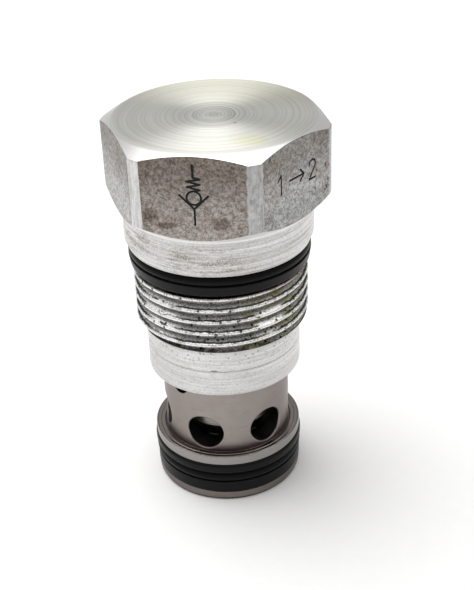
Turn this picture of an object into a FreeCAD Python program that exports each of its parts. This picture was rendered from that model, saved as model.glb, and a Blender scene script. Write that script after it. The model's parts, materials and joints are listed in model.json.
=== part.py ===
import FreeCAD
import Part
import os
from math import cos, hypot, pi, radians, sin, tan

# Two-port screw-in check valve cartridge, in millimetres.
# +Z runs from the nose up to the hex. The origin is the centre of the nose's end face.
# An azimuth is measured about +Z from -Y towards +X; a hexagon flat faces azimuth 0.

AXIS = FreeCAD.Vector(0, 0, 1)
ORIGIN = FreeCAD.Vector(0, 0, 0)
GAP = 0.02              # between pieces that only rest on each other
RUNNING_GAP = 0.05      # radial clearance of a piece that turns or slides in another
CUT_SPARE = 1.0         # how far a cutter runs past the surface it opens
FINE_BREAK = 0.12       # rounds on the edges of small pieces
EDGE_BREAK = 0.2
SOFT_BREAK = 0.3

# Hexagon head
HEX_ACROSS_FLATS = 28.575
HEX_CORNER_RADIUS = 16.04
HEX_TOP_Z = 58.0
HEX_TOP_FACE_RADIUS = 14.07
HEX_CORNER_TOP_Z = 56.85
HEX_CORNER_BOTTOM_Z = 47.3
TURNING_RING_RADII = (9.4, 6.9, 5.2, 3.8, 3.0, 2.3, 1.7, 1.1)
TURNING_RING_DEPTH = 0.014
TURNING_RING_HALF_WIDTH = 0.16

# Collar that closes the cavity, tapered at its foot, and the seal groove under it
COLLAR_RADIUS = 13.6
COLLAR_TOP_Z = 45.45
COLLAR_TAPER_TOP_Z = 41.0
COLLAR_FOOT_RADIUS = 13.15
COLLAR_BOTTOM_Z = 39.85
COLLAR_GROOVE_RADIUS = 11.45

# 1-14 external thread with 60 degree flanks
THREAD_RADIUS = 12.7
THREAD_PITCH = 25.4 / 14
THREAD_TOP_Z = 36.72
THREAD_TOP_CHAMFER = 0.5
THREAD_BOTTOM_Z = 27.1
THREAD_END_RADIUS = 11.95
THREAD_DEPTH = 0.61 * THREAD_PITCH
THREAD_CREST_Z = 34.15
THREAD_CREST_AZIMUTH = 7.3
THREAD_FLANK_ANGLE = 30.0
THREAD_CREST_BREAK = 0.07
THREAD_BREAK_ANGLE = 60.0
THREAD_MOUTH_SPARE = 0.02       # keeps neighbouring turns of the groove's cutter apart
THREAD_ROOT_FLAT = THREAD_PITCH / 8
THREAD_ROOT_ROUND = THREAD_PITCH / 20
THREAD_TURNS_BELOW_CREST = 5

# Shoulder below the thread
SHOULDER_RADIUS = 11.365
SHOULDER_BOTTOM_Z = 19.35
SHOULDER_LINE_Z = 23.5
SHOULDER_LINE_DEPTH = 0.09

# Blind bore of the body: the sleeve's bore, then the spring chamber
SLEEVE_RADIUS = 9.5
BODY_BORE_RADIUS = SLEEVE_RADIUS + RUNNING_GAP
BODY_BORE_TOP_Z = 31.0
CHAMBER_RADIUS = 5.6
CHAMBER_TOP_Z = 46.5

# Wire ring that holds the floating sleeve in the body
RING_WIRE_RADIUS = 0.7
RING_Z = 22.4
RING_OPENING_DEGREES = 40
RING_GROOVE_DEPTH = 0.75
BODY_GROOVE_HALF_HEIGHT = 0.76
SLEEVE_GROOVE_HALF_HEIGHT = 0.92

# Sleeve
SLEEVE_TOP_Z = 30.6
SLEEVE_BORE_RADIUS = 7.04
UNDERCUT_WIDTH = 0.3
UNDERCUT_DEPTH = 0.14
PORT_COUNT = 6
PORT_RADIUS = 2.75
PORT_Z = 11.18
PORT_AZIMUTH = -9.7
PORT_RIM_ROUND = 0.2
VENT_COUNT = 2
VENT_RADIUS = 1.6
VENT_Z = 18.65
VENT_AZIMUTH = -34.3

# Nose of the sleeve: flange, seal groove, seat
NOSE_RADIUS = 11.12
NOSE_TOP_Z = 8.08
NOSE_FOOT_RADIUS = 11.0
NOSE_BASE_RADIUS = 10.78
NOSE_BASE_CHAMFER_Z = 0.45
FLANGE_LINE_RADII = (10.9, 10.35)
FLANGE_LINE_DEPTH = 0.06
FLANGE_LINE_HALF_WIDTH = 0.07
SEAL_GROOVE_TOP_Z = 6.66
SEAL_GROOVE_BOTTOM_Z = 1.5
SEAL_GROOVE_RADIUS = 9.3
NOSE_ENTRY_RADIUS = 6.6
NOSE_ENTRY_DEPTH = 3.0
SEAT_BORE_RADIUS = 4.9
SEAT_RADIUS = 5.3
SEAT_Z = 8.55
SEAT_HALF_ANGLE = 36.5

# Poppet, drawn on its seat
POPPET_RADIUS = 6.99
POPPET_TOP_Z = 27.4
POPPET_NOSE_RADIUS = 4.3
POPPET_BORE_RADIUS = 5.0
POPPET_BORE_FLOOR_Z = 12.0
POPPET_GROOVE_RADIUS = 6.45
POPPET_GROOVE_BOTTOM_Z = 15.6
POPPET_GROOVE_TOP_Z = 20.6
POPPET_VENT_RADIUS = 0.9
POPPET_VENT_COUNT = 4

# Spring, its guide and the shim that sets its preload
SPRING_COIL_RADIUS = 4.15
SPRING_WIRE_RADIUS = 0.6
SPRING_TURNS = 12
SPRING_POINTS_PER_TURN = 16
SHIM_THICKNESS = 0.5
GUIDE_HEAD_RADIUS = 5.4
GUIDE_HEAD_THICKNESS = 1.2
GUIDE_STEM_RADIUS = 3.3
GUIDE_STEM_LENGTH = 14.0
GUIDE_TIP_ROUND = 0.9

# Seals
COLLAR_O_RING_SECTION = 0.85
COLLAR_BACKUP_RADIUS = 13.2
COLLAR_BACKUP_TOP_Z = 38.3
COLLAR_BACKUP_FOOT_RADIUS = 12.95
NOSE_O_RING_SECTION = 0.92
NOSE_O_RING_Z = 4.2
NOSE_O_RING_RADIUS = 11.2
NOSE_UPPER_BACKUP_RADIUS = 11.3
NOSE_UPPER_BACKUP_FLOOR_Z = 4.98
NOSE_UPPER_BACKUP_ROUND = 0.55
NOSE_LOWER_BACKUP_RADIUS = 11.08
NOSE_LOWER_BACKUP_ROOF_Z = 3.38

# Marks cut into two flats: a plain check-valve symbol, and the flow from port 1 to port 2
MARK_DEPTH = 0.09
MARK_WIDTH = 0.3
MARK_Z = 52.5
FLOW_MARK_AZIMUTH = 60
SYMBOL_PORT_END = 4.2
SYMBOL_SEAT_Z = -1.9
SYMBOL_SEAT_REACH = 1.9
SYMBOL_BALL_RADIUS = 0.95
SYMBOL_SPRING_TOP = 2.5
SYMBOL_SPRING_REACH = 0.85
SYMBOL_SPRING_TURNS = 5
DIGIT_HEIGHT = 2.7
DIGIT_OFFSET = 3.3
ARROW_HALF_LENGTH = 1.5
ARROW_HEAD = 0.8


def around(azimuth, radius, z=0.0):
    """The point at an azimuth in degrees, a radius and a height."""
    angle = radians(azimuth)
    return FreeCAD.Vector(radius * sin(angle), -radius * cos(angle), z)


def rounded_wire(corners):
    """Closed wire in the XZ plane through (x, z) corners; a third number rounds that corner."""
    points = [FreeCAD.Vector(corner[0], 0, corner[1]) for corner in corners]
    passes = []
    for index, point in enumerate(points):
        if len(corners[index]) < 3:
            passes.append((point, point, point))
            continue
        radius = corners[index][2]
        back = (points[index - 1] - point).normalize()
        ahead = (points[(index + 1) % len(points)] - point).normalize()
        half = back.getAngle(ahead) / 2
        middle = point + (back + ahead).normalize() * (radius / sin(half) - radius)
        passes.append((point + back * (radius / tan(half)), middle, point + ahead * (radius / tan(half))))
    edges = []
    for index, (start, middle, end) in enumerate(passes):
        if start != end:
            edges.append(Part.Arc(start, middle, end).toShape())
        edges.append(Part.makeLine(end, passes[(index + 1) % len(passes)][0]))
    return Part.Wire(edges)


def turned(corners):
    """Solid turned about the Z axis from (radius, z) corners."""
    return Part.Face(rounded_wire(corners)).revolve(ORIGIN, AXIS, 360)


def cylinder(radius, bottom, top):
    return Part.makeCylinder(radius, top - bottom, FreeCAD.Vector(0, 0, bottom))


def torus(centre_radius, section, z):
    return Part.makeTorus(centre_radius, section, FreeCAD.Vector(0, 0, z), AXIS)


def radial_hole(azimuth, radius, z, start, end):
    """Cylinder along a radius of the part, from one distance off the axis to another."""
    return Part.makeCylinder(radius, end - start, around(azimuth, start, z), around(azimuth, 1))


def face_lines(radii, z, half_width, depth):
    """Corners of shallow turned lines in a face, for radii from the rim towards the centre."""
    corners = []
    for radius in radii:
        corners.append((radius + half_width, z))
        corners.append((radius, z - depth))
        corners.append((radius - half_width, z))
    return corners


def hex_head():
    """Hexagon with turned corners, a chamfered top and a coned underside."""
    corner = HEX_ACROSS_FLATS / 2 / cos(pi / 6)
    points = [around(30 + 60 * side, corner, COLLAR_TOP_Z) for side in range(7)]
    prism = Part.Face(Part.makePolygon(points)).extrude(AXIS * (HEX_TOP_Z - COLLAR_TOP_Z))
    rings = face_lines(TURNING_RING_RADII, HEX_TOP_Z, TURNING_RING_HALF_WIDTH, TURNING_RING_DEPTH)
    envelope = turned(
        [
            (0, COLLAR_TOP_Z),
            (COLLAR_RADIUS, COLLAR_TOP_Z),
            (HEX_CORNER_RADIUS, HEX_CORNER_BOTTOM_Z),
            (HEX_CORNER_RADIUS, HEX_CORNER_TOP_Z),
            (HEX_TOP_FACE_RADIUS, HEX_TOP_Z),
        ]
        + rings
        + [(0, HEX_TOP_Z)]
    )
    return prism.common(envelope)


def body_outline():
    """The body below the hexagon, before its thread and bore are cut."""
    run_out = THREAD_RADIUS - THREAD_END_RADIUS
    return turned(
        [
            (0, SHOULDER_BOTTOM_Z),
            (SHOULDER_RADIUS, SHOULDER_BOTTOM_Z, EDGE_BREAK),
            (SHOULDER_RADIUS, SHOULDER_LINE_Z - SHOULDER_LINE_DEPTH),
            (SHOULDER_RADIUS - SHOULDER_LINE_DEPTH, SHOULDER_LINE_Z),
            (SHOULDER_RADIUS, SHOULDER_LINE_Z + SHOULDER_LINE_DEPTH),
            (SHOULDER_RADIUS, THREAD_BOTTOM_Z),
            (THREAD_END_RADIUS, THREAD_BOTTOM_Z),
            (THREAD_RADIUS, THREAD_BOTTOM_Z + run_out),
            (THREAD_RADIUS, THREAD_TOP_Z - THREAD_TOP_CHAMFER),
            (THREAD_RADIUS - THREAD_TOP_CHAMFER, THREAD_TOP_Z),
            (COLLAR_GROOVE_RADIUS, THREAD_TOP_Z),
            (COLLAR_GROOVE_RADIUS, COLLAR_BOTTOM_Z),
            (COLLAR_FOOT_RADIUS, COLLAR_BOTTOM_Z, EDGE_BREAK),
            (COLLAR_RADIUS, COLLAR_TAPER_TOP_Z, SOFT_BREAK),
            (COLLAR_RADIUS, COLLAR_TOP_Z),
            (0, COLLAR_TOP_Z),
        ]
    )


def thread_groove():
    """The helical groove between the thread's crests, running out at both ends."""
    groove_z = THREAD_CREST_Z - (THREAD_TURNS_BELOW_CREST - 0.5) * THREAD_PITCH
    height = THREAD_TOP_Z + THREAD_PITCH - groove_z
    helix = Part.makeHelix(THREAD_PITCH, height, THREAD_RADIUS)
    root_radius = THREAD_RADIUS - THREAD_DEPTH
    break_radius = THREAD_RADIUS - THREAD_CREST_BREAK
    mouth_radius = THREAD_RADIUS + THREAD_MOUTH_SPARE
    half_root = THREAD_ROOT_FLAT / 2
    half_break = half_root + (break_radius - root_radius) * tan(radians(THREAD_FLANK_ANGLE))
    half_mouth = half_break + (mouth_radius - break_radius) * tan(radians(THREAD_BREAK_ANGLE))
    corners = [
        (root_radius, -half_root, THREAD_ROOT_ROUND),
        (break_radius, -half_break),
        (mouth_radius, -half_mouth),
        (mouth_radius, half_mouth),
        (break_radius, half_break),
        (root_radius, half_root, THREAD_ROOT_ROUND),
    ]
    groove = Part.Wire(helix).makePipeShell([rounded_wire(corners)], True, True)
    groove.rotate(ORIGIN, AXIS, THREAD_CREST_AZIMUTH - 90)
    groove.translate(AXIS * groove_z)
    return groove


def body_bore():
    """The sleeve's bore with its ring groove, then the spring chamber."""
    groove_radius = BODY_BORE_RADIUS + RING_GROOVE_DEPTH
    return turned(
        [
            (0, SHOULDER_BOTTOM_Z - CUT_SPARE),
            (BODY_BORE_RADIUS + SOFT_BREAK, SHOULDER_BOTTOM_Z - CUT_SPARE),
            (BODY_BORE_RADIUS + SOFT_BREAK, SHOULDER_BOTTOM_Z),
            (BODY_BORE_RADIUS, SHOULDER_BOTTOM_Z + SOFT_BREAK),
            (BODY_BORE_RADIUS, RING_Z - BODY_GROOVE_HALF_HEIGHT),
            (groove_radius, RING_Z - BODY_GROOVE_HALF_HEIGHT),
            (groove_radius, RING_Z + BODY_GROOVE_HALF_HEIGHT),
            (BODY_BORE_RADIUS, RING_Z + BODY_GROOVE_HALF_HEIGHT),
            (BODY_BORE_RADIUS, BODY_BORE_TOP_Z),
            (CHAMBER_RADIUS, BODY_BORE_TOP_Z),
            (CHAMBER_RADIUS, CHAMBER_TOP_Z),
            (0, CHAMBER_TOP_Z),
        ]
    )


def stroke(start, end):
    """A straight mark of MARK_WIDTH with round ends, lying in the XZ plane and rising along +Y."""
    start = FreeCAD.Vector(start[0], 0, start[1])
    end = FreeCAD.Vector(end[0], 0, end[1])
    along = (end - start).normalize() * (MARK_WIDTH / 2)
    across = FreeCAD.Vector(-along.z, 0, along.x)
    edges = [
        Part.makeLine(start + across, end + across),
        Part.Arc(end + across, end + along, end - across).toShape(),
        Part.makeLine(end - across, start - across),
        Part.Arc(start - across, start - along, start + across).toShape(),
    ]
    return Part.Face(Part.Wire(edges)).extrude(FreeCAD.Vector(0, 2 * MARK_DEPTH, 0))


def strokes(points):
    """Marks joining each point to the next."""
    return [stroke(start, end) for start, end in zip(points, points[1:])]


def ring_mark(centre_z, radius):
    """A circular mark about a centre on the mark's middle line."""
    deep = 2 * MARK_DEPTH
    centre = FreeCAD.Vector(0, 0, centre_z)
    along = FreeCAD.Vector(0, 1, 0)
    outer = Part.makeCylinder(radius + MARK_WIDTH / 2, deep, centre, along)
    return outer.cut(Part.makeCylinder(radius - MARK_WIDTH / 2, deep, centre, along))


def valve_symbol():
    """Seat, ball and spring between two port lines: the drawing symbol of a sprung check valve."""
    ball_z = SYMBOL_SEAT_Z + (SYMBOL_BALL_RADIUS + MARK_WIDTH / 2) / sin(pi / 4)
    spring_bottom = ball_z + SYMBOL_BALL_RADIUS
    rise = (SYMBOL_SPRING_TOP - spring_bottom) / SYMBOL_SPRING_TURNS
    spring = [(0, spring_bottom)]
    for turn in range(SYMBOL_SPRING_TURNS):
        side = SYMBOL_SPRING_REACH * (-1) ** turn
        spring.append((side, spring_bottom + rise * (turn + 0.5)))
    spring.append((0, SYMBOL_SPRING_TOP))
    spring.append((0, SYMBOL_PORT_END))
    seat_top = SYMBOL_SEAT_Z + SYMBOL_SEAT_REACH
    seat = [(-SYMBOL_SEAT_REACH, seat_top), (0, SYMBOL_SEAT_Z), (SYMBOL_SEAT_REACH, seat_top)]
    inlet = [(0, SYMBOL_SEAT_Z), (0, -SYMBOL_PORT_END)]
    return strokes(spring) + strokes(seat) + strokes(inlet) + [ring_mark(ball_z, SYMBOL_BALL_RADIUS)]


def flow_mark():
    """The digits 1 and 2 with an arrow between them."""
    half = DIGIT_HEIGHT / 2
    bow = DIGIT_HEIGHT / 4
    one = [(-DIGIT_OFFSET - bow, half - bow), (-DIGIT_OFFSET, half), (-DIGIT_OFFSET, -half)]
    two = [
        (DIGIT_OFFSET - bow * cos(radians(angle)), half - bow + bow * sin(radians(angle)))
        for angle in range(0, 211, 30)
    ]
    two += [(DIGIT_OFFSET - bow, -half), (DIGIT_OFFSET + bow, -half)]
    tip = (ARROW_HALF_LENGTH, 0)
    shaft = [(-ARROW_HALF_LENGTH, 0), tip]
    back = ARROW_HALF_LENGTH - ARROW_HEAD
    head = [(back, ARROW_HEAD), tip, (back, -ARROW_HEAD)]
    return strokes(one) + strokes(two) + strokes(shaft) + strokes(head)


def on_flat(marks, azimuth):
    """Marks sunk to MARK_DEPTH in the flat that faces an azimuth."""
    placed = marks[0].multiFuse(marks[1:])
    placed.translate(FreeCAD.Vector(0, -HEX_ACROSS_FLATS / 2 - MARK_DEPTH, MARK_Z))
    placed.rotate(ORIGIN, AXIS, azimuth)
    return placed


def hex_body():
    body = hex_head().fuse(body_outline()).removeSplitter()
    body = body.cut(thread_groove())
    body = body.cut(body_bore())
    body = body.cut(on_flat(valve_symbol(), 0))
    return body.cut(on_flat(flow_mark(), FLOW_MARK_AZIMUTH))


def sleeve_outline():
    """The sleeve as turned, with its nose flange, seal groove, ring groove, bore and seat."""
    seat_drop = (SEAT_RADIUS - SEAT_BORE_RADIUS) / tan(radians(SEAT_HALF_ANGLE))
    entry_cone = NOSE_ENTRY_RADIUS - SEAT_BORE_RADIUS
    flange_lines = face_lines(FLANGE_LINE_RADII, NOSE_TOP_Z, FLANGE_LINE_HALF_WIDTH, FLANGE_LINE_DEPTH)
    return turned(
        [
            (NOSE_ENTRY_RADIUS + SOFT_BREAK, 0),
            (NOSE_BASE_RADIUS, 0, FINE_BREAK),
            (NOSE_FOOT_RADIUS, NOSE_BASE_CHAMFER_Z),
            (NOSE_FOOT_RADIUS, SEAL_GROOVE_BOTTOM_Z, FINE_BREAK),
            (SEAL_GROOVE_RADIUS, SEAL_GROOVE_BOTTOM_Z, EDGE_BREAK),
            (SEAL_GROOVE_RADIUS, SEAL_GROOVE_TOP_Z, EDGE_BREAK),
            (NOSE_RADIUS, SEAL_GROOVE_TOP_Z, FINE_BREAK),
            (NOSE_RADIUS, NOSE_TOP_Z, FINE_BREAK),
        ]
        + flange_lines
        + [
            (SLEEVE_RADIUS + UNDERCUT_WIDTH, NOSE_TOP_Z),
            (SLEEVE_RADIUS + UNDERCUT_WIDTH - UNDERCUT_DEPTH, NOSE_TOP_Z - UNDERCUT_DEPTH),
            (SLEEVE_RADIUS, NOSE_TOP_Z - UNDERCUT_DEPTH),
            (SLEEVE_RADIUS, RING_Z - SLEEVE_GROOVE_HALF_HEIGHT),
            (SLEEVE_RADIUS - RING_GROOVE_DEPTH, RING_Z - SLEEVE_GROOVE_HALF_HEIGHT, EDGE_BREAK),
            (SLEEVE_RADIUS - RING_GROOVE_DEPTH, RING_Z + SLEEVE_GROOVE_HALF_HEIGHT, EDGE_BREAK),
            (SLEEVE_RADIUS, RING_Z + SLEEVE_GROOVE_HALF_HEIGHT),
            (SLEEVE_RADIUS, SLEEVE_TOP_Z, SOFT_BREAK),
            (SLEEVE_BORE_RADIUS, SLEEVE_TOP_Z, SOFT_BREAK),
            (SLEEVE_BORE_RADIUS, SEAT_Z, SOFT_BREAK),
            (SEAT_RADIUS, SEAT_Z),
            (SEAT_BORE_RADIUS, SEAT_Z - seat_drop),
            (SEAT_BORE_RADIUS, NOSE_ENTRY_DEPTH + entry_cone),
            (NOSE_ENTRY_RADIUS, NOSE_ENTRY_DEPTH),
            (NOSE_ENTRY_RADIUS, SOFT_BREAK),
        ]
    )


def holes_round(count, first_azimuth, radius, z):
    """Equally spaced radial cutters through the sleeve's wall."""
    start = SLEEVE_BORE_RADIUS - CUT_SPARE
    end = SLEEVE_RADIUS + CUT_SPARE
    return [radial_hole(first_azimuth + 360 / count * hole, radius, z, start, end) for hole in range(count)]


def port_rims(shape):
    """The side ports' outer edges, known by their height and their distance from the axis."""
    edges = []
    for edge in shape.Edges:
        height = edge.BoundBox.ZMax - edge.BoundBox.ZMin
        point = edge.valueAt(edge.FirstParameter)
        if abs(height - 2 * PORT_RADIUS) < RUNNING_GAP and hypot(point.x, point.y) > SLEEVE_RADIUS - GAP:
            edges.append(edge)
    return edges


def sleeve():
    cutters = holes_round(PORT_COUNT, PORT_AZIMUTH, PORT_RADIUS, PORT_Z)
    cutters += holes_round(VENT_COUNT, VENT_AZIMUTH, VENT_RADIUS, VENT_Z)
    drilled = sleeve_outline().cut(cutters)
    return drilled.makeFillet(PORT_RIM_ROUND, port_rims(drilled))


def poppet():
    """Hollow poppet on its seat: conical nose, vent groove and cross holes to its spring bore."""
    slope = tan(radians(SEAT_HALF_ANGLE))
    cone_top_z = SEAT_Z + GAP + (POPPET_RADIUS - SEAT_RADIUS) / slope
    nose_z = SEAT_Z + GAP - (SEAT_RADIUS - POPPET_NOSE_RADIUS) / slope
    shape = turned(
        [
            (0, nose_z),
            (POPPET_NOSE_RADIUS, nose_z, SOFT_BREAK),
            (POPPET_RADIUS, cone_top_z),
            (POPPET_RADIUS, POPPET_GROOVE_BOTTOM_Z),
            (POPPET_GROOVE_RADIUS, POPPET_GROOVE_BOTTOM_Z, EDGE_BREAK),
            (POPPET_GROOVE_RADIUS, POPPET_GROOVE_TOP_Z, EDGE_BREAK),
            (POPPET_RADIUS, POPPET_GROOVE_TOP_Z),
            (POPPET_RADIUS, POPPET_TOP_Z, SOFT_BREAK),
            (POPPET_BORE_RADIUS, POPPET_TOP_Z, SOFT_BREAK),
            (POPPET_BORE_RADIUS, POPPET_BORE_FLOOR_Z, EDGE_BREAK),
            (0, POPPET_BORE_FLOOR_Z),
        ]
    )
    vent_z = (POPPET_GROOVE_BOTTOM_Z + POPPET_GROOVE_TOP_Z) / 2
    start = POPPET_BORE_RADIUS - CUT_SPARE
    vents = [
        radial_hole(360 / POPPET_VENT_COUNT * vent, POPPET_VENT_RADIUS, vent_z, start, POPPET_RADIUS)
        for vent in range(POPPET_VENT_COUNT)
    ]
    return shape.cut(vents)


def spring_top_z():
    return CHAMBER_TOP_Z - SHIM_THICKNESS - GUIDE_HEAD_THICKNESS - 3 * GAP


def spring_path(bottom, top):
    """Coil with one closed turn at each end and an even pitch between them."""
    closed_pitch = 2 * SPRING_WIRE_RADIUS * 1.05
    open_pitch = (top - bottom - 2 * closed_pitch) / (SPRING_TURNS - 2)
    points = []
    for step in range(SPRING_TURNS * SPRING_POINTS_PER_TURN + 1):
        turn = step / SPRING_POINTS_PER_TURN
        open_turns = min(max(turn - 1, 0), SPRING_TURNS - 2)
        z = bottom + open_turns * open_pitch + (turn - open_turns) * closed_pitch
        points.append(around(360 * turn, SPRING_COIL_RADIUS, z))
    curve = Part.BSplineCurve()
    curve.interpolate(points)
    return Part.Wire(curve.toShape())


def poppet_spring():
    """Compression spring with ground ends, from the poppet's floor to the guide's head."""
    bottom = POPPET_BORE_FLOOR_Z + GAP
    top = spring_top_z()
    path = spring_path(bottom + SPRING_WIRE_RADIUS / 2, top - SPRING_WIRE_RADIUS / 2)
    start = path.Vertexes[0].Point
    tangent = path.Edges[0].tangentAt(path.Edges[0].FirstParameter)
    section = Part.Wire(Part.makeCircle(SPRING_WIRE_RADIUS, start, tangent))
    coil = path.makePipeShell([section], True, True)
    return coil.common(cylinder(2 * SPRING_COIL_RADIUS, bottom, top))


def spring_guide():
    """Headed pin that keeps the spring straight."""
    head_top = CHAMBER_TOP_Z - SHIM_THICKNESS - 2 * GAP
    head_bottom = head_top - GUIDE_HEAD_THICKNESS
    tip = head_bottom - GUIDE_STEM_LENGTH
    return turned(
        [
            (0, tip),
            (GUIDE_STEM_RADIUS, tip, GUIDE_TIP_ROUND),
            (GUIDE_STEM_RADIUS, head_bottom, EDGE_BREAK),
            (GUIDE_HEAD_RADIUS, head_bottom, EDGE_BREAK),
            (GUIDE_HEAD_RADIUS, head_top, EDGE_BREAK),
            (0, head_top),
        ]
    )


def preload_shim():
    top = CHAMBER_TOP_Z - GAP
    ring = cylinder(GUIDE_HEAD_RADIUS, top - SHIM_THICKNESS, top)
    return ring.cut(cylinder(GUIDE_STEM_RADIUS / 2, top - SHIM_THICKNESS, top))


def sleeve_retaining_ring():
    """Open wire ring lying half in the body's groove and half in the sleeve's."""
    centre = FreeCAD.Vector(SLEEVE_RADIUS + RUNNING_GAP / 2, 0, RING_Z)
    section = Part.makeCircle(RING_WIRE_RADIUS, centre, FreeCAD.Vector(0, 1, 0))
    return Part.Face(Part.Wire(section)).revolve(ORIGIN, AXIS, 360 - RING_OPENING_DEGREES)


def collar_o_ring_z():
    return COLLAR_BOTTOM_Z - GAP - COLLAR_O_RING_SECTION


def collar_o_ring(spare=0.0):
    centre = COLLAR_GROOVE_RADIUS + GAP + COLLAR_O_RING_SECTION
    return torus(centre, COLLAR_O_RING_SECTION + spare, collar_o_ring_z())


def collar_backup_ring():
    """Ring under the collar's O-ring: hollowed to fit it, and tapered at its foot."""
    bottom = THREAD_TOP_Z + GAP
    ring = turned(
        [
            (COLLAR_GROOVE_RADIUS + GAP, bottom),
            (COLLAR_BACKUP_FOOT_RADIUS, bottom, SOFT_BREAK),
            (COLLAR_BACKUP_RADIUS, COLLAR_BACKUP_TOP_Z, FINE_BREAK),
            (COLLAR_GROOVE_RADIUS + GAP, COLLAR_BACKUP_TOP_Z),
        ]
    )
    return ring.cut(collar_o_ring(GAP))


def nose_o_ring(spare=0.0):
    return torus(NOSE_O_RING_RADIUS - NOSE_O_RING_SECTION, NOSE_O_RING_SECTION + spare, NOSE_O_RING_Z)


def nose_backup_ring(radius, inner_z, groove_z, rounding):
    """Ring between the nose's O-ring and one wall of the seal groove, hollowed on the O-ring's side."""
    inner_radius = SEAL_GROOVE_RADIUS + GAP
    ring = turned(
        [
            (inner_radius, inner_z),
            (radius, inner_z, rounding),
            (radius, groove_z, rounding),
            (inner_radius, groove_z, EDGE_BREAK),
        ]
    )
    return ring.cut(nose_o_ring(GAP))


def nose_upper_backup_ring():
    """The bulged ring above the nose's O-ring."""
    roof_z = SEAL_GROOVE_TOP_Z - GAP
    return nose_backup_ring(
        NOSE_UPPER_BACKUP_RADIUS, NOSE_UPPER_BACKUP_FLOOR_Z, roof_z, NOSE_UPPER_BACKUP_ROUND
    )


def nose_lower_backup_ring():
    floor_z = SEAL_GROOVE_BOTTOM_Z + GAP
    return nose_backup_ring(NOSE_LOWER_BACKUP_RADIUS, NOSE_LOWER_BACKUP_ROOF_Z, floor_z, FINE_BREAK)


def main():
    pieces = {
        "hex_body": hex_body(),
        "sleeve": sleeve(),
        "poppet": poppet(),
        "poppet_spring": poppet_spring(),
        "spring_guide": spring_guide(),
        "preload_shim": preload_shim(),
        "sleeve_retaining_ring": sleeve_retaining_ring(),
        "collar_o_ring": collar_o_ring(),
        "collar_backup_ring": collar_backup_ring(),
        "nose_o_ring": nose_o_ring(),
        "nose_upper_backup_ring": nose_upper_backup_ring(),
        "nose_lower_backup_ring": nose_lower_backup_ring(),
    }
    os.makedirs("parts", exist_ok=True)
    for name, shape in pieces.items():
        shape.exportStep(os.path.join("parts", name + ".step"))


main()
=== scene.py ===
import json
from math import cos, pi, radians, sin

import bpy
from mathutils import Matrix, Vector


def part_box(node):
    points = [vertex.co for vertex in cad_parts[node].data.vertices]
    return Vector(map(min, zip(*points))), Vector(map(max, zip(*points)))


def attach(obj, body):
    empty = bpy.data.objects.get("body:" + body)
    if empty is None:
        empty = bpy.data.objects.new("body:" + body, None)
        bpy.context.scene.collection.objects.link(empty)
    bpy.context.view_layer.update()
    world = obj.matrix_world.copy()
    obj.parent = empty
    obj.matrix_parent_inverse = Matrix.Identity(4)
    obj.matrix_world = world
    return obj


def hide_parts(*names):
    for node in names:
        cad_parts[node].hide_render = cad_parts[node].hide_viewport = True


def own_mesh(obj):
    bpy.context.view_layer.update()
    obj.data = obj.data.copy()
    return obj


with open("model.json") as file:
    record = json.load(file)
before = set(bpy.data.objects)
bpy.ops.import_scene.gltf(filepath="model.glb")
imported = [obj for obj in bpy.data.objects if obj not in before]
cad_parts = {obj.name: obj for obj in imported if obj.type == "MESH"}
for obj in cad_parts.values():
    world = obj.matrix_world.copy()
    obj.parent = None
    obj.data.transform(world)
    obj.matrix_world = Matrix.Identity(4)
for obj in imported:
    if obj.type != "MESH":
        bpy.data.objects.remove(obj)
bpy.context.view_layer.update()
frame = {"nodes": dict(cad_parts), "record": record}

# ---------------------------------------------------------------------------------------------
# Places, in millimetres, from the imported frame
# ---------------------------------------------------------------------------------------------
MM = 1000.0
mounts = {mount["name"]: mount for mount in frame["record"]["mounts"]}


def low_z(node):
    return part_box(node)[0].z * MM


def high_z(node):
    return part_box(node)[1].z * MM


def outer_radius(node):
    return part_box(node)[1].x * MM


def mount_z(name):
    return mounts[name]["pos_m"][2] * MM


def around(azimuth, radius, z=0.0):
    """A place at an azimuth, which runs from -Y towards +X."""
    return (radius * sin(radians(azimuth)), -radius * cos(radians(azimuth)), z)


COLLAR_BOTTOM = mount_z("collar_seat")
COLLAR_TOP = COLLAR_BOTTOM + 5.6
COLLAR_RADIUS = 13.6

HEX_TOP = high_z("hex_body")
HEX_BOTTOM = COLLAR_BOTTOM + 7.45       # foot of the hexagon's corners
HEX_APOTHEM = abs(mounts["wrench_flat_back"]["pos_m"][1]) * MM
HEX_CORNER = outer_radius("hex_body")
MARK_Z = mount_z("wrench_flat_front")   # the marks are centred at the mount's height
MARK_REACH = 4.6

THREAD_TOP = low_z("collar_backup_ring")
THREAD_BOTTOM = mount_z("cavity_pilot") + mounts["cavity_pilot"]["dims"]["length_mm"] / 2
THREAD_MIDDLE = (THREAD_TOP + THREAD_BOTTOM) / 2
THREAD_RADIUS = 12.7
SHOULDER_RADIUS = mounts["cavity_pilot"]["dims"]["r_mm"]
SHOULDER_LINE = THREAD_BOTTOM - 3.6     # fine turned line round the shoulder

SLEEVE_RADIUS = 9.5
POPPET_RADIUS = outer_radius("poppet")
NOSE_RADIUS = outer_radius("sleeve")
NOSE_TOP = 8.08
RING_STACK_TOP = high_z("nose_upper_backup_ring")


# ---------------------------------------------------------------------------------------------
# Node building
# ---------------------------------------------------------------------------------------------
SPOT_CORE = 0.35                        # part of a spot's reach that is at full strength
BEVEL_SAMPLES = 6
QUARTER_TURN = 0.25                     # lays the grain round the axis


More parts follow.
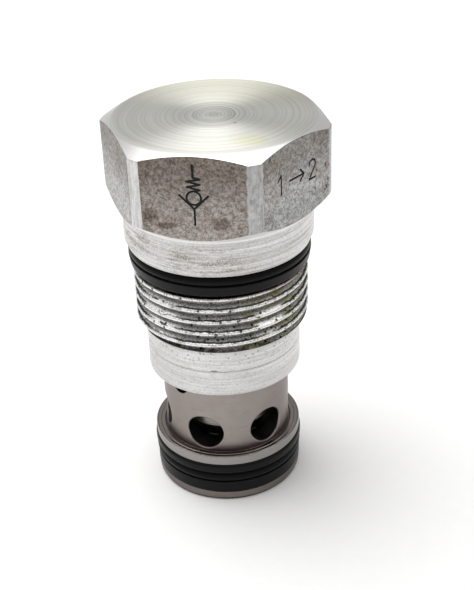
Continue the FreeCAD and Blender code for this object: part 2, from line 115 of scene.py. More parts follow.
class Nodes:
    """A node tree. Each method adds a node and returns the socket that it makes."""

    def __init__(self, tree):
        self.tree = tree
        self.tree.nodes.clear()

    def node(self, kind, *inputs, **settings):
        made = self.tree.nodes.new(kind)
        for name, value in settings.items():
            setattr(made, name, value)
        for index, value in enumerate(inputs):
            self.plug(made.inputs[index], value)
        return made

    def plug(self, socket, value):
        if isinstance(value, bpy.types.NodeSocket):
            self.tree.links.new(value, socket)
        elif value is not None:
            socket.default_value = value

    def math(self, operation, a, b=None):
        return self.node("ShaderNodeMath", a, b, operation=operation).outputs[0]

    def vector(self, operation, a, b=None, scale=None):
        made = self.node("ShaderNodeVectorMath", a, b, operation=operation)
        if scale is not None:
            self.plug(made.inputs["Scale"], scale)
        return made.outputs["Value" if operation in ("LENGTH", "DOT_PRODUCT") else "Vector"]

    def add(self, a, b):
        return self.math("ADD", a, b)

    def times(self, a, b):
        return self.math("MULTIPLY", a, b)

    def less(self, a, b):
        return self.math("SUBTRACT", a, b)

    def unless(self, a, b):
        """Mask a, without mask b."""
        return self.times(a, self.less(1.0, b))

    def either(self, a, b):
        return self.math("MAXIMUM", a, b)

    def between(self, mask, low, span):
        """A number that is low where a mask is 0 and low plus span where it is 1."""
        return self.add(self.times(mask, span), low)

    def rise(self, value, low, high):
        """0 below low, 1 above high, and a smooth step between them."""
        made = self.node(
            "ShaderNodeMapRange", value, low, high, 0.0, 1.0, interpolation_type="SMOOTHSTEP"
        )
        return made.outputs[0]

    def spread(self, noise):
        """Noise brought to its full contrast."""
        return self.rise(noise, 0.30, 0.70)

    def band(self, value, low, high, soft=0.05):
        """1 between low and high, and 0 outside them."""
        inward = self.rise(value, low - soft, low + soft)
        outward = self.rise(value, high + soft, high - soft)
        return self.times(inward, outward)

    def noise(self, where, scale, detail=2.0, roughness=0.5, distortion=0.0):
        made = self.node("ShaderNodeTexNoise")
        self.plug(made.inputs["Vector"], where)
        made.inputs["Scale"].default_value = scale
        made.inputs["Detail"].default_value = detail
        made.inputs["Roughness"].default_value = roughness
        made.inputs["Distortion"].default_value = distortion
        return made.outputs["Fac"]

    def cells(self, where, scale):
        """The distance to the middle of the nearest cell."""
        made = self.node("ShaderNodeTexVoronoi")
        self.plug(made.inputs["Vector"], where)
        made.inputs["Scale"].default_value = scale
        return made.outputs["Distance"]

    def blended(self, made, factor, a, b):
        """Plugs a mix node and gives its result."""
        self.plug(made.inputs["Factor"], factor)
        ends = [s for s in made.inputs if s.name in ("A", "B") and s.enabled]
        self.plug(ends[0], a)
        self.plug(ends[1], b)
        return next(s for s in made.outputs if s.enabled)

    def mix(self, factor, a, b):
        """Colours or single numbers a and b, mixed by factor."""
        colour = any(isinstance(v, tuple) or getattr(v, "type", "") == "RGBA" for v in (a, b))
        made = self.node("ShaderNodeMix", data_type="RGBA" if colour else "FLOAT")
        return self.blended(made, factor, a, b)

    def shade(self, factor, colour, tint):
        """A colour multiplied by a tint where factor is 1."""
        made = self.node("ShaderNodeMix", data_type="RGBA", blend_type="MULTIPLY")
        return self.blended(made, factor, colour, tint)


class Look(Nodes):
    """One material's node tree, worked in millimetres of the frame."""

    def __init__(self, name):
        self.material = bpy.data.materials.new(name)
        self.material.use_nodes = True
        super().__init__(self.material.node_tree)
        coordinates = self.node("ShaderNodeTexCoord").outputs["Object"]
        self.place = self.vector("SCALE", coordinates, scale=MM)
        self.x, self.y, self.z = self.node("ShaderNodeSeparateXYZ", self.place).outputs
        flat = self.node("ShaderNodeCombineXYZ", self.x, self.y, 0.0).outputs[0]
        self.radius = self.vector("LENGTH", flat)
        self.ragged = self.less(self.noise(self.place, 1.1, detail=4.0, roughness=0.65), 0.5)
        geometry = self.node("ShaderNodeNewGeometry")
        self.normal = geometry.outputs["Normal"]
        self.beneath = geometry.outputs["Backfacing"]
        self.normal_z = self.node("ShaderNodeSeparateXYZ", self.normal).outputs[2]

    def ragged_radius(self, amount):
        """The distance from the axis, made uneven."""
        return self.add(self.radius, self.times(self.ragged, amount))

    def stretched(self, across, along):
        """Coordinates that squeeze noise into lines round the axis."""
        return self.vector("MULTIPLY", self.place, (across, across, along))

    def lines(self, across, along, detail=4.0, roughness=0.7, distortion=0.0):
        """Noise squeezed into lines round the axis: a scale across Z and one along it."""
        return self.noise(self.stretched(across, along), 1.0, detail, roughness, distortion)

    def rings(self, across, outward):
        """Noise squeezed into rings round the axis."""
        x = self.times(self.x, across)
        y = self.times(self.y, across)
        ring = self.times(self.radius, outward)
        where = self.node("ShaderNodeCombineXYZ", x, y, ring).outputs[0]
        return self.noise(where, 1.0, detail=5.0, roughness=0.75)

    def spot(self, centre, reach, ragged=1.2):
        """1 at a centre, fading with a ragged edge to 0 at its reach along each axis."""
        away = self.vector("DIVIDE", self.vector("SUBTRACT", self.place, centre), reach)
        distance = self.add(self.vector("LENGTH", away), self.times(self.ragged, ragged))
        return self.rise(distance, 1.0, SPOT_CORE)

    def spots(self, *places):
        """Several spots as one mask, each a centre and a reach."""
        joined = self.spot(*places[0])
        for centre, reach in places[1:]:
            joined = self.either(joined, self.spot(centre, reach))
        return joined

    def edge(self, radius):
        """Normals rounded over edges, and a mask that is 1 on them."""
        bevel = self.node("ShaderNodeBevel", radius / MM, samples=BEVEL_SAMPLES)
        turn = self.vector("DOT_PRODUCT", bevel.outputs[0], self.normal)
        return bevel.outputs[0], self.rise(self.less(1.0, turn), 0.01, 0.12)

    def bump(self, height, distance, normal=None):
        """Relief of a height, from 0 to 1, that stands a distance proud."""
        made = self.node("ShaderNodeBump")
        self.plug(made.inputs["Height"], height)
        self.plug(made.inputs["Normal"], normal)
        made.inputs["Distance"].default_value = distance / MM
        made.inputs["Strength"].default_value = 1.0
        return made.outputs[0]

    def surface(self, colour, roughness, normal, metallic=1.0, grain=None, **more):
        """The Principled surface; grain is how strongly it is turned about the axis."""
        shader = self.node("ShaderNodeBsdfPrincipled")
        self.plug(shader.inputs["Base Color"], colour)
        self.plug(shader.inputs["Roughness"], roughness)
        self.plug(shader.inputs["Metallic"], metallic)
        self.plug(shader.inputs["Normal"], normal)
        for name, value in more.items():
            self.plug(shader.inputs[name.replace("_", " ")], value)
        if grain is not None:
            tangent = self.node("ShaderNodeTangent", direction_type="RADIAL", axis="Z")
            self.plug(shader.inputs["Tangent"], tangent.outputs[0])
            self.plug(shader.inputs["Anisotropic"], grain)
            shader.inputs["Anisotropic Rotation"].default_value = QUARTER_TURN
        output = self.node("ShaderNodeOutputMaterial")
        self.tree.links.new(shader.outputs[0], output.inputs["Surface"])
        return self.material


def rgb(red, green, blue):
    return (red, green, blue, 1.0)


def grey(value, warm=0.0):
    """A linear grey, a little warmer or cooler."""
    return rgb(value * (1 + warm), value, value * (1 - warm))


# ---------------------------------------------------------------------------------------------
# Steel body: one function for each stretch of it, then the whole
# ---------------------------------------------------------------------------------------------
def hex_distance(look):
    """How far a point lies from the axis, measured towards the nearest flat."""
    tilt_x = look.times(look.x, cos(pi / 6))
    tilt_y = look.times(look.y, sin(pi / 6))
    front = look.math("ABSOLUTE", look.y)
    right = look.math("ABSOLUTE", look.add(tilt_x, tilt_y))
    left = look.math("ABSOLUTE", look.less(tilt_x, tilt_y))
    return look.either(look.either(front, right), left)


def flat_colour(look, grain, blotch, edge):
    """Wrench flats: mottled grey, browner and smudged on the front flat, darker to the top."""
    dull, bright = grey(0.24, 0.006), grey(0.68, 0.006)
    front_brown = rgb(0.76, 0.70, 0.655)
    blotch_brown = rgb(0.86, 0.81, 0.78)
    upper_brown = rgb(0.60, 0.575, 0.54)
    low_right_grey = rgb(0.80, 0.81, 0.81)
    smudge_brown = rgb(0.42, 0.37, 0.33)
    pit_grey = grey(0.16, 0.05)
    lip_grey = grey(0.35, 0.05)

    mottle = look.noise(look.place, 1.9, detail=4.0, roughness=0.65, distortion=0.5)
    mottle = look.add(look.times(mottle, 0.6), look.times(grain, 0.4))
    tone = look.mix(look.rise(mottle, 0.36, 0.64), dull, bright)
    front = look.rise(look.y, 2 - HEX_APOTHEM, 0.5 - HEX_APOTHEM)
    tone = look.shade(front, tone, front_brown)
    tone = look.shade(look.rise(blotch, 0.46, 0.66), tone, blotch_brown)
    tone = look.shade(look.rise(look.z, HEX_TOP - 9.5, HEX_TOP - 1.5), tone, upper_brown)
    low = look.rise(look.z, HEX_TOP - 7.0, HEX_BOTTOM + 1.0)
    tone = look.shade(look.times(look.rise(look.x, 4.0, 8.0), low), tone, low_right_grey)
    smudges = look.spots(
        ((-6.0, -HEX_APOTHEM, HEX_BOTTOM + 2.0), (1.9, 2.0, 1.4)),
        ((-3.8, -HEX_APOTHEM, HEX_BOTTOM + 0.7), (1.8, 2.0, 0.8)),
        ((3.4, -HEX_APOTHEM, HEX_BOTTOM + 1.2), (1.9, 2.0, 1.2)),
    )
    tone = look.shade(look.times(smudges, 0.8), tone, smudge_brown)
    pits = look.rise(look.cells(look.stretched(1.0, 0.6), 1.15), 0.26, 0.12)
    pitted = look.spots(
        (around(86, 15.0, HEX_BOTTOM + 2.5), (5.0, 5.0, 5.0)),
        (around(40, 15.0, HEX_TOP - 2.0), (2.5, 2.5, 2.0)),
    )
    tone = look.shade(look.times(pits, look.between(pitted, 0.10, 0.9)), tone, pit_grey)
    lip = look.times(edge, look.rise(look.z, HEX_TOP - 4.0, HEX_TOP - 3.0))
    return look.shade(lip, tone, lip_grey)


def towards_right(look):
    """0 at the body's left and 1 at its right."""
    return look.rise(look.x, -4.0, 2.0)


def corner_colour(look, grain):
    """Turned corners of the hexagon: bright with upright streaks, and painted shade that makes them
    darker and plainer at the right.
    """
    streaks = look.lines(3.0, 0.35)
    streaks = look.rise(look.add(look.times(streaks, 0.7), look.times(grain, 0.3)), 0.36, 0.62)
    # Lit and shaded copies: the darker right copy is painted shade on the corners at the right.
    left = look.mix(streaks, grey(0.44, 0.01), grey(0.70, 0.005))
    right = look.mix(streaks, grey(0.21, 0.01), grey(0.41, 0.01))
    return look.mix(towards_right(look), left, right)


def top_colour(look, rings):
    """Faced top: concentric cuts, painted shade at the centre and an olive tint with painted shade
    over the back, a yellowish streak and one dark pit.
    """
    dull, bright = rgb(0.66, 0.66, 0.62), rgb(0.86, 0.86, 0.82)
    back_shade_olive = rgb(0.84, 0.84, 0.77)
    streak_yellow = rgb(0.95, 0.94, 0.74)
    pit_grey = grey(0.10, 0.05)

    tone = look.mix(look.spread(rings), dull, bright)
    # Olive tint with painted shade over the back half of the top.
    tone = look.shade(look.rise(look.y, 1.0, 10.0), tone, back_shade_olive)
    # Painted shade at the centre, with the cuts there in stronger contrast.
    centre_rings_and_shade = look.mix(look.rise(rings, 0.38, 0.60), grey(0.60), grey(0.92))
    tone = look.shade(look.rise(look.radius, 6.5, 2.5), tone, centre_rings_and_shade)
    streak = look.spot(around(38, 10.5, HEX_TOP), (3.4, 2.6, 2.0))
    tone = look.shade(look.times(streak, 0.8), tone, streak_yellow)
    pit = look.spot(around(52, 4.4, HEX_TOP), (0.28, 0.28, 0.5), ragged=0.2)
    return look.mix(look.times(pit, 0.7), tone, pit_grey)


def collar_colour(look, lines, grain):
    """Collar: bright turned steel with brown lines, stains and specks."""
    dull, bright = grey(0.57, 0.006), grey(0.86, 0.003)
    grain_grey = grey(0.84, 0.01)
    line_brown = rgb(0.72, 0.69, 0.62)
    stain_brown = rgb(0.40, 0.36, 0.31)
    speck_grey = grey(0.22, 0.05)

    tone = look.mix(look.spread(lines), dull, bright)
    tone = look.shade(look.rise(grain, 0.56, 0.42), tone, grain_grey)
    brown_lines = look.rise(look.lines(0.10, 2.4), 0.48, 0.64)
    tone = look.shade(look.times(brown_lines, 0.6), tone, line_brown)
    cloud = look.rise(look.lines(0.22, 1.3, detail=5.0, distortion=0.3), 0.40, 0.68)
    stained = look.spots(
        (around(-48, COLLAR_RADIUS, COLLAR_BOTTOM + 3.6), (6.0, 6.0, 4.2)),
        (around(2, COLLAR_RADIUS, COLLAR_BOTTOM + 2.2), (9.0, 4.0, 3.4)),
    )
    mottle = look.between(look.rise(grain, 0.58, 0.42), 0.4, 0.6)
    stain = look.times(look.between(stained, 0.15, 0.95), look.times(cloud, mottle))
    tone = look.shade(stain, tone, stain_brown)
    specks = look.rise(look.cells(look.place, 1.3), 0.22, 0.09)
    specks = look.times(specks, look.rise(grain, 0.46, 0.56))
    return look.shade(look.times(specks, look.between(stained, 0.55, 0.35)), tone, speck_grey)


def shoulder_colour(look, lines, grain):
    """Shoulder: bright turned steel with fine specks, painted shade at the left, and one nick on its
    turned line.
    """
    dull, bright = grey(0.58, 0.004), grey(0.82, 0.002)
    grain_grey = grey(0.88, 0.01)
    speck_grey = grey(0.30, 0.03)
    haze_olive = rgb(0.86, 0.86, 0.80)
    left_shade_grey = grey(0.88)
    nick_grey = grey(0.07, 0.03)

    tone = look.mix(look.spread(lines), dull, bright)
    tone = look.shade(look.rise(grain, 0.56, 0.44), tone, grain_grey)
    specks = look.rise(look.cells(look.place, 1.5), 0.30, 0.17)
    under_thread = look.rise(look.z, SHOULDER_LINE + 0.4, THREAD_BOTTOM - 0.4)
    dusty = look.either(under_thread, look.rise(look.x, -7.0, -11.0))
    tone = look.shade(look.times(specks, look.between(dusty, 0.22, 0.55)), tone, speck_grey)
    haze = look.rise(look.lines(0.25, 0.5, roughness=0.6), 0.50, 0.70)
    tone = look.shade(look.times(haze, 0.6), tone, haze_olive)
    # Painted shade on the left side.
    tone = look.shade(look.rise(look.x, -2.0, -9.0), tone, left_shade_grey)
    nick = look.spot(around(4, SHOULDER_RADIUS, SHOULDER_LINE + 0.1), (0.75, 0.6, 0.22), ragged=0.3)
    return look.mix(look.times(nick, 0.85), tone, nick_grey)


def thread_masks(look, grain):
    """Where the thread is, its uneven crests, and the worn patches painted bright as highlights."""
    thread = look.band(look.z, THREAD_BOTTOM, THREAD_TOP, soft=0.03)
    uneven = look.ragged_radius(0.45)
    crest = look.times(thread, look.rise(uneven, THREAD_RADIUS - 0.20, THREAD_RADIUS - 0.08))
    # Two patches on the flanks painted bright: painted highlights over wear.
    highlight_spots = look.spots(
        (around(-34, THREAD_RADIUS, THREAD_MIDDLE + 0.4), (4.6, 4.6, 5.0)),
        (around(44, THREAD_RADIUS, THREAD_MIDDLE - 0.4), (3.4, 4.0, 3.6)),
    )
    outer_flank = look.rise(uneven, THREAD_RADIUS - 0.75, THREAD_RADIUS - 0.55)
    streaky = look.rise(look.lines(0.4, 2.4), 0.40, 0.47)
    streaky = look.times(streaky, look.rise(grain, 0.32, 0.42))
    wear_and_highlight = look.times(look.times(highlight_spots, outer_flank), look.times(thread, streaky))
    return thread, crest, wear_and_highlight


def thread_colour(look, crest, grain, wear_and_highlight):
    """Thread: dusty flanks, crests and worn patches painted bright as highlights, painted shade in
    the roots and beside the crests, black specks, a painted shadow under the seal and darker at the
    lower end.
    """
    dull, bright = grey(0.20, 0.01), grey(0.66, 0.01)
    root_shade_grey = grey(0.75, 0.02)
    right_olive = rgb(0.86, 0.86, 0.64)
    highlight_grey = grey(0.92, 0.006)
    crest_band_shade_grey = grey(0.12, 0.03)
    speck_grey = grey(0.012)
    seal_shadow = rgb(0.30, 0.20, 0.19)
    run_out_grey = grey(0.18, 0.05)

    tone = look.mix(look.rise(grain, 0.33, 0.67), dull, bright)
    # Painted shade in the roots.
    root = look.rise(look.radius, THREAD_RADIUS - 0.6, THREAD_RADIUS - 0.85)
    tone = look.shade(root, tone, root_shade_grey)
    patchy = look.rise(look.noise(look.place, 0.6), 0.40, 0.56)
    tone = look.shade(look.times(look.rise(look.x, 2.0, 9.0), patchy), tone, right_olive)
    unbroken = look.rise(look.noise(look.place, 0.9, detail=3.0), 0.36, 0.46)
    clean_crest = look.times(crest, look.rise(grain, 0.34, 0.48))
    clean_crest = look.times(clean_crest, look.between(unbroken, 0.4, 0.6))
    # Crests and worn patches painted bright: wear and painted highlight.
    tone = look.mix(look.either(clean_crest, wear_and_highlight), tone, highlight_grey)
    # Painted shade in a band on the upward-facing flank just inside each crest.
    facing_up = look.rise(look.normal_z, 0.15, 0.35)
    near_crest = look.band(look.ragged_radius(0.5), THREAD_RADIUS - 0.42, THREAD_RADIUS - 0.16, 0.03)
    crest_band_shade = look.times(near_crest, facing_up)
    tone = look.shade(look.unless(crest_band_shade, wear_and_highlight), tone, crest_band_shade_grey)
    specks = look.rise(look.cells(look.place, 0.95), 0.23, 0.16)
    tone = look.mix(look.times(specks, 0.9), tone, speck_grey)
    under_seal = look.rise(look.z, THREAD_TOP - 0.75, THREAD_TOP - 0.35)
    tone = look.shade(under_seal, tone, seal_shadow)
    uneven_z = look.add(look.z, look.times(look.ragged, 1.2))
    run_out = look.rise(uneven_z, THREAD_BOTTOM + 0.6, THREAD_BOTTOM + 0.3)
    return look.shade(run_out, tone, run_out_grey)


def head_masks(look):
    """Where the head, its turned corners, its flats, its top and the cut marks are."""
    reach = hex_distance(look)
    head = look.rise(look.z, COLLAR_TOP - 0.4, COLLAR_TOP)
    soft = look.mix(towards_right(look), 0.02, 0.14)
    corner_start = look.add(look.times(look.ragged, look.times(soft, 2.0)), HEX_CORNER - 0.07)
    past_start = look.math("DIVIDE", look.less(look.radius, corner_start), soft)
    corner = look.times(head, look.rise(past_start, -1.0, 1.0))
    flat = look.times(head, look.rise(reach, HEX_APOTHEM - 0.03, HEX_APOTHEM - 0.008))
    flat = look.unless(flat, corner)
    top = look.rise(look.z, HEX_TOP - 0.08, HEX_TOP - 0.045)
    sunk = look.times(
        look.band(reach, HEX_APOTHEM - 0.14, HEX_APOTHEM - 0.03, soft=0.008),
        look.band(look.z, MARK_Z - MARK_REACH, MARK_Z + MARK_REACH),
    )
    mark = look.times(sunk, look.rise(look.radius, HEX_CORNER - 0.3, HEX_CORNER - 0.5))
    return head, corner, flat, top, mark


def body_steel():
    """Turned steel body: stained flats, bright collar and shoulder, worn thread, faced top, with
    painted light and shade on several stretches and bright burrs with painted highlights on its
    edges.
    """
    look = Look("body_steel")
    rounded, edge = look.edge(0.14)

    # noise patterns
    grain = look.noise(look.place, 4.8, detail=3.0, roughness=0.62, distortion=0.2)
    blotch = look.noise(look.place, 0.30, detail=4.0, roughness=0.6, distortion=0.4)
    rings = look.rings(0.02, 2.6)
    lines = look.lines(0.05, 5.0)
    fine_lines = look.lines(0.16, 22.0, detail=3.0)

    # where each stretch lies
    head, corner, flat, top, mark = head_masks(look)
    thread, crest, wear_and_highlight = thread_masks(look, grain)
    shoulder = look.rise(look.z, THREAD_BOTTOM + 0.05, THREAD_BOTTOM - 0.05)
    collar = look.unless(look.rise(look.z, COLLAR_BOTTOM - 0.05, COLLAR_BOTTOM), head)

    # colours
    colour = look.mix(lines, grey(0.76, 0.01), grey(0.90, 0.005))
    colour = look.mix(collar, colour, collar_colour(look, lines, grain))
    colour = look.mix(flat, colour, flat_colour(look, grain, blotch, edge))
    colour = look.mix(corner, colour, corner_colour(look, grain))
    colour = look.mix(top, colour, top_colour(look, rings))
    colour = look.mix(shoulder, colour, shoulder_colour(look, lines, grain))
    colour = look.mix(thread, colour, thread_colour(look, crest, grain, wear_and_highlight))
    # Edges of the head painted bright: burrs and painted highlights.
    burr_and_highlight = look.times(edge, look.rise(grain, 0.36, 0.54))
    burr_and_highlight = look.times(burr_and_highlight, look.rise(look.z, HEX_TOP - 5.0, HEX_BOTTOM))
    colour = look.mix(look.times(look.unless(burr_and_highlight, thread), 0.75), colour, grey(0.88, 0.005))
    colour = look.mix(mark, colour, grey(0.010))

    # roughness and grain
    roughness = look.mix(fine_lines, 0.30, 0.44)
    roughness = look.mix(flat, roughness, look.mix(grain, 0.60, 0.46))
    roughness = look.mix(corner, roughness, 0.42)
    roughness = look.mix(top, roughness, look.mix(rings, 0.36, 0.44))
    roughness = look.mix(thread, roughness, look.mix(look.either(crest, wear_and_highlight), 0.42, 0.36))
    roughness = look.mix(mark, roughness, 0.8)
    turned = look.less(1.0, look.either(flat, look.either(corner, thread)))
    face_grain = look.times(look.rise(look.radius, 0.0, 6.0), 0.85)
    grain_strength = look.times(turned, look.mix(top, 0.55, face_grain))

    # relief
    turned_lines = look.add(look.times(lines, 0.5), fine_lines)
    relief = look.times(look.unless(turned, top), turned_lines)
    relief = look.add(relief, look.times(top, look.times(rings, 0.9)))
    relief = look.add(relief, look.times(look.either(flat, thread), look.times(grain, 0.8)))
    normal = look.bump(relief, 0.03, rounded)
    metallic = look.less(1.0, look.times(mark, 0.8))
    return look.surface(colour, roughness, normal, metallic, grain_strength)


# ---------------------------------------------------------------------------------------------
# Other materials
# ---------------------------------------------------------------------------------------------
def sleeve_steel():
    """Hardened satin steel of the sleeve, brown-grey, with a dark oil stain on the flange; painted
    shade on its sides, in its bore and at its foot, painted highlights on its edges and a painted
    contact shadow at the bottom.
    """
    dark_brown, light_brown = rgb(0.250, 0.218, 0.202), rgb(0.352, 0.318, 0.298)
    line_brown = rgb(0.370, 0.334, 0.314)
    scratch_grey = grey(0.62, 0.03)
    side_shade_grey = rgb(0.68, 0.66, 0.65)
    bore_shade_green = rgb(0.22, 0.27, 0.24)
    foot_shade_violet = rgb(0.60, 0.53, 0.57)
    oil_brown = rgb(0.25, 0.20, 0.15)
    nose_grey = rgb(0.70, 0.68, 0.67)
    flange_grey = grey(0.34, 0.02)
    pit_grey = grey(0.10, 0.06)
    edge_highlight_grey = grey(0.42, 0.02)
    contact_shadow_grey = grey(0.22, 0.05)

    look = Look("sleeve_steel")
    rounded, edge = look.edge(0.10)
    lines = look.lines(0.06, 7.0, roughness=0.65)
    haze = look.noise(look.place, 0.45, detail=4.0, roughness=0.6, distortion=0.3)
    fine = look.noise(look.place, 5.0, detail=4.0, roughness=0.7)

    # the barrel
    tone = look.mix(haze, dark_brown, light_brown)
    tone = look.mix(look.times(lines, 0.5), tone, line_brown)
    scratches = look.rise(look.lines(0.30, 3.0, detail=3.0), 0.60, 0.72)
    tone = look.shade(look.times(scratches, 0.6), tone, scratch_grey)
    # Painted shade on the sides, darker where the surface turns away from view.
    facing = look.node("ShaderNodeLayerWeight", 0.35).outputs["Facing"]
    tone = look.shade(look.rise(facing, 0.08, 0.62), tone, side_shade_grey)
    # Painted shade in the bore and inside the ports.
    inside = look.rise(look.radius, SLEEVE_RADIUS - 0.1, SLEEVE_RADIUS - 0.35)
    tone = look.shade(inside, tone, bore_shade_green)
    # Painted shade with a violet tint at the foot, where the barrel meets the flange.
    low = look.rise(look.z, NOSE_TOP + 1.5, NOSE_TOP + 0.1)
    foot = look.unless(low, look.rise(look.radius, SLEEVE_RADIUS + 0.05, SLEEVE_RADIUS + 0.2))
    tone = look.shade(foot, tone, foot_shade_violet)

    # the nose
    flange_top = look.times(
        look.band(look.z, NOSE_TOP - 0.3, NOSE_TOP + 0.06, soft=0.03),
        look.rise(look.radius, SLEEVE_RADIUS - 0.2, SLEEVE_RADIUS + 0.1),
    )
    oil = look.spot(around(8, 10.5, NOSE_TOP), (7.0, 4.0, 2.0))
    tone = look.shade(look.times(flange_top, look.between(oil, 0.08, 0.62)), tone, oil_brown)
    below_flange = look.rise(look.z, NOSE_TOP - 0.1, NOSE_TOP)
    nose = look.unless(
        look.rise(look.radius, SLEEVE_RADIUS + 0.15, SLEEVE_RADIUS + 0.25), below_flange
    )
    tone = look.shade(nose, tone, nose_grey)
    flange_side = look.times(
        look.rise(look.radius, NOSE_RADIUS - 0.14, NOSE_RADIUS - 0.02),
        look.rise(look.z, RING_STACK_TOP - 0.1, RING_STACK_TOP),
    )
    tone = look.mix(look.times(flange_side, 0.7), tone, flange_grey)

    # pits, painted highlights on edges and a painted contact shadow at the underside
    pits = look.rise(look.cells(look.place, 1.1), 0.12, 0.06)
    tone = look.shade(look.times(pits, look.between(flange_top, 0.2, 0.7)), tone, pit_grey)
    # Painted highlights on the edges.
    tone = look.mix(look.times(edge, 0.35), tone, edge_highlight_grey)
    # Painted contact shadow at the bottom.
    tone = look.shade(look.rise(look.z, 0.45, 0.15), tone, contact_shadow_grey)

    roughness = look.mix(flange_top, look.mix(fine, 0.32, 0.44), 0.22)
    relief = look.add(look.times(lines, 0.6), look.times(fine, 0.25))
    return look.surface(tone, roughness, look.bump(relief, 0.012, rounded), 1.0, 0.45)


def ground_steel(name, dark, light, lines_along=9.0, land=0.0):
    """Ground steel of an inner piece, with painted shade where it lies deeper than its land, and
    painted highlights on its edges.
    """
    deep_shade_green = rgb(0.24, 0.29, 0.26)
    look = Look(name)
    rounded, edge = look.edge(0.1)
    lines = look.lines(0.1, lines_along, roughness=0.65)
    haze = look.noise(look.place, 0.8, detail=3.0, roughness=0.6)
    tone = look.mix(look.mix(haze, lines, haze), dark, light)
    # Painted highlights on the edges.
    tone = look.mix(look.times(edge, 0.5), tone, grey(0.5, 0.01))
    # Painted shade where the piece lies deeper than its land.
    tone = look.shade(look.rise(look.radius, land, land - 0.3), tone, deep_shade_green)
    roughness = look.mix(haze, 0.25, 0.40)
    return look.surface(tone, roughness, look.bump(lines, 0.008, rounded), 1.0, 0.4)


def seal_rubber():
    """Black nitrile with a moulded skin and a thin film of oil."""
    look = Look("seal_rubber")
    skin = look.noise(look.place, 9.0, detail=4.0, roughness=0.7)
    film = look.lines(0.5, 1.3, detail=3.0, roughness=0.6)
    tone = look.mix(film, grey(0.0015), grey(0.0035))
    roughness = look.mix(film, 0.32, 0.46)
    relief = look.bump(skin, 0.006)
    return look.surface(tone, roughness, relief, metallic=0.0, Specular_IOR_Level=0.10)


def backup_plastic():
    """Black filled plastic of the backup rings, with turned lines, grey scuffs and painted
    highlights on edges.
    """
    look = Look("backup_plastic")
    rounded, edge = look.edge(0.08)
    lines = look.lines(0.08, 10.0)
    scuff = look.rise(look.lines(0.5, 2.2), 0.56, 0.78)
    tone = look.mix(lines, grey(0.002), grey(0.005))
    tone = look.mix(look.times(scuff, 0.25), tone, grey(0.035, 0.01))
    # Painted highlights on the edges.
    tone = look.mix(look.times(edge, 0.15), tone, grey(0.04))
    roughness = look.mix(scuff, 0.36, 0.52)
    relief = look.bump(lines, 0.010, rounded)
    return look.surface(tone, roughness, relief, metallic=0.0, Specular_IOR_Level=0.13)


def pale_floor():
    """Plain pale floor, clear from underneath so that the nose can be seen."""
    look = Look("pale_floor")
    fibre = look.noise(look.place, 0.6, detail=4.0, roughness=0.6)
    tone = look.mix(fibre, grey(0.87, 0.003), grey(0.91, 0.001))
    seen_above = look.less(1.0, look.beneath)
    return look.surface(tone, 0.75, look.bump(fibre, 0.02), metallic=0.0, Alpha=seen_above)


def dress():
    """Gives every node its material."""
    inner = ground_steel("inner_steel", grey(0.22, 0.02), grey(0.40, 0.01))
    poppet = ground_steel(
        "poppet_steel", rgb(0.29, 0.26, 0.245), rgb(0.42, 0.385, 0.365), land=POPPET_RADIUS - 0.02
    )
    wire = ground_steel("spring_steel", grey(0.16), grey(0.34), lines_along=1.5)
    backup = backup_plastic()
    rubber = seal_rubber()
    looks = {
        "hex_body": body_steel(),
        "sleeve": sleeve_steel(),
        "poppet": poppet,
        "poppet_spring": wire,
        "sleeve_retaining_ring": wire,
        "spring_guide": inner,
        "preload_shim": inner,
        "collar_o_ring": rubber,
        "nose_o_ring": rubber,
        "collar_backup_ring": backup,
        "nose_upper_backup_ring": backup,
        "nose_lower_backup_ring": backup,
    }
    for name, material in looks.items():
        for slot in frame["nodes"][name].material_slots:
            slot.material = material


# ---------------------------------------------------------------------------------------------
# Pieces
# ---------------------------------------------------------------------------------------------
def sprung_coil():
    """The poppet's spring as a piece of its own on the hex body, in place of the imported spring,
    which is hidden.
    """
    node = frame["nodes"]["poppet_spring"]
    coil = bpy.data.objects.new("poppet_spring_coil", node.data.copy())
    bpy.context.scene.collection.objects.link(coil)
    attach(coil, "hex_body")
    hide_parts("poppet_spring")
    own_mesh(coil)


# ---------------------------------------------------------------------------------------------
# Floor and light: lengths in metres, power in watts
# ---------------------------------------------------------------------------------------------
FLOOR_HALF = 3.0
FLOOR_GAP = 0.00002

KEY_PLACE = (-0.17, 0.05, 0.52)
KEY_TARGET = (0.0, 0.0, 0.03)
KEY_SIZE = 0.46
KEY_POWER = 2.1

FILL_LEVEL = 0.77
HORIZON_LEVEL = 0.58
ZENITH_LEVEL = 2.9
RIGHT_DIMMING = 0.80
VIEWER_LEVEL = 0.08
WARMTH = 0.006


def floor():
    half, low = FLOOR_HALF, -FLOOR_GAP
    mesh = bpy.data.meshes.new("floor")
    corners = [(-half, -half, low), (half, -half, low), (half, half, low), (-half, half, low)]
    mesh.from_pydata(corners, [], [(0, 1, 2, 3)])
    mesh.materials.append(pale_floor())
    made = bpy.data.objects.new("floor", mesh)
    bpy.context.scene.collection.objects.link(made)


def key_light():
    """A soft disk overhead at the left, which steel doesn't mirror."""
    light = bpy.data.lights.new("key", "AREA")
    light.shape = "DISK"
    light.size = KEY_SIZE
    light.energy = KEY_POWER
    made = bpy.data.objects.new("key", light)
    made.location = KEY_PLACE
    made.rotation_mode = "QUATERNION"
    made.rotation_quaternion = (Vector(KEY_TARGET) - Vector(KEY_PLACE)).to_track_quat("-Z", "Y")
    made.visible_glossy = False
    bpy.context.scene.collection.objects.link(made)


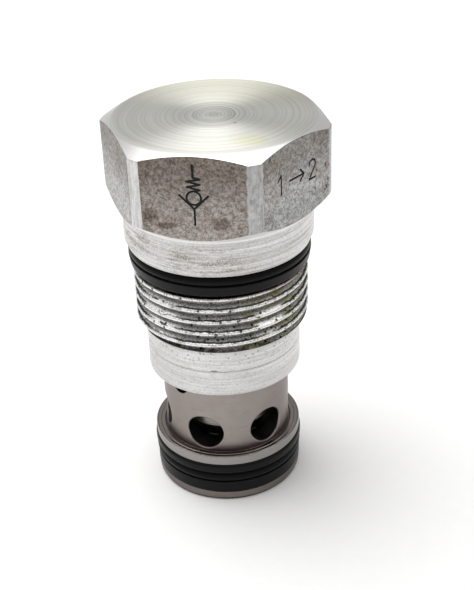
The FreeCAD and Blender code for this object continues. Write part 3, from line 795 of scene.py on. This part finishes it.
def surroundings():
    """An even pale fill, and in reflections a room: bright overhead, greyer at the right,
    and dark where the viewer stands."""
    world = bpy.data.worlds.new("room")
    world.use_nodes = True
    room = Nodes(world.node_tree)
    ahead = room.node("ShaderNodeTexCoord").outputs["Generated"]
    height = room.node("ShaderNodeSeparateXYZ", ahead).outputs[2]
    near = room.vector("DOT_PRODUCT", ahead, around(VIEW_AZIMUTH, 1.0))
    right = room.vector("DOT_PRODUCT", ahead, around(VIEW_AZIMUTH + 90, 1.0))
    level = room.mix(room.rise(height, 0.62, 0.96), HORIZON_LEVEL, ZENITH_LEVEL)
    level = room.times(level, room.mix(room.rise(right, 0.0, 0.5), 1.0, RIGHT_DIMMING))
    viewer = room.times(room.band(height, 0.40, 0.80, soft=0.12), room.rise(near, 0.25, 0.55))
    level = room.mix(viewer, level, VIEWER_LEVEL)
    mirrored = room.node("ShaderNodeLightPath").outputs["Is Glossy Ray"]
    level = room.mix(mirrored, FILL_LEVEL, level)
    red = room.times(level, 1 + WARMTH)
    blue = room.times(level, 1 - WARMTH)
    colour = room.node("ShaderNodeCombineXYZ", red, level, blue).outputs[0]
    back = room.node("ShaderNodeBackground", colour, 1.0)
    out = room.node("ShaderNodeOutputWorld")
    room.tree.links.new(back.outputs[0], out.inputs[0])
    bpy.context.scene.world = world


# ---------------------------------------------------------------------------------------------
# Camera: lengths in metres, angles in degrees, lens and sensor in millimetres
# ---------------------------------------------------------------------------------------------
VIEW_AZIMUTH = 12.33
VIEW_DISTANCE = 0.15293
VIEW_HEIGHT = 0.11769
VIEW_YAW = 0.82
VIEW_PITCH = 29.97
VIEW_ROLL = -2.30
LENS = 72.84
SENSOR = 36.0
NEAREST = 0.005


def camera():
    """Close camera above and in front, turned a little to the right of the front flat."""
    yaw, pitch, roll = radians(VIEW_YAW), radians(VIEW_PITCH), radians(VIEW_ROLL)
    ahead = Vector((sin(yaw) * cos(pitch), cos(yaw) * cos(pitch), -sin(pitch)))
    right = Vector((cos(yaw), -sin(yaw), 0))
    up = right.cross(ahead)
    rolled_right = cos(roll) * right + sin(roll) * up
    rolled_up = cos(roll) * up - sin(roll) * right
    turn = Matrix.Rotation(radians(VIEW_AZIMUTH), 3, "Z")
    axes = Matrix((turn @ rolled_right, turn @ rolled_up, turn @ -ahead)).transposed()
    place = turn @ Vector((0, -VIEW_DISTANCE, VIEW_HEIGHT))
    lens = bpy.data.cameras.new("camera")
    lens.lens = LENS
    lens.sensor_width = SENSOR
    lens.clip_start = NEAREST
    made = bpy.data.objects.new("camera", lens)
    made.matrix_world = Matrix.Translation(place) @ axes.to_4x4()
    bpy.context.scene.collection.objects.link(made)
    bpy.context.scene.camera = made


dress()
sprung_coil()
floor()
key_light()
surroundings()
camera()
bpy.context.scene.view_settings.view_transform = "Standard"
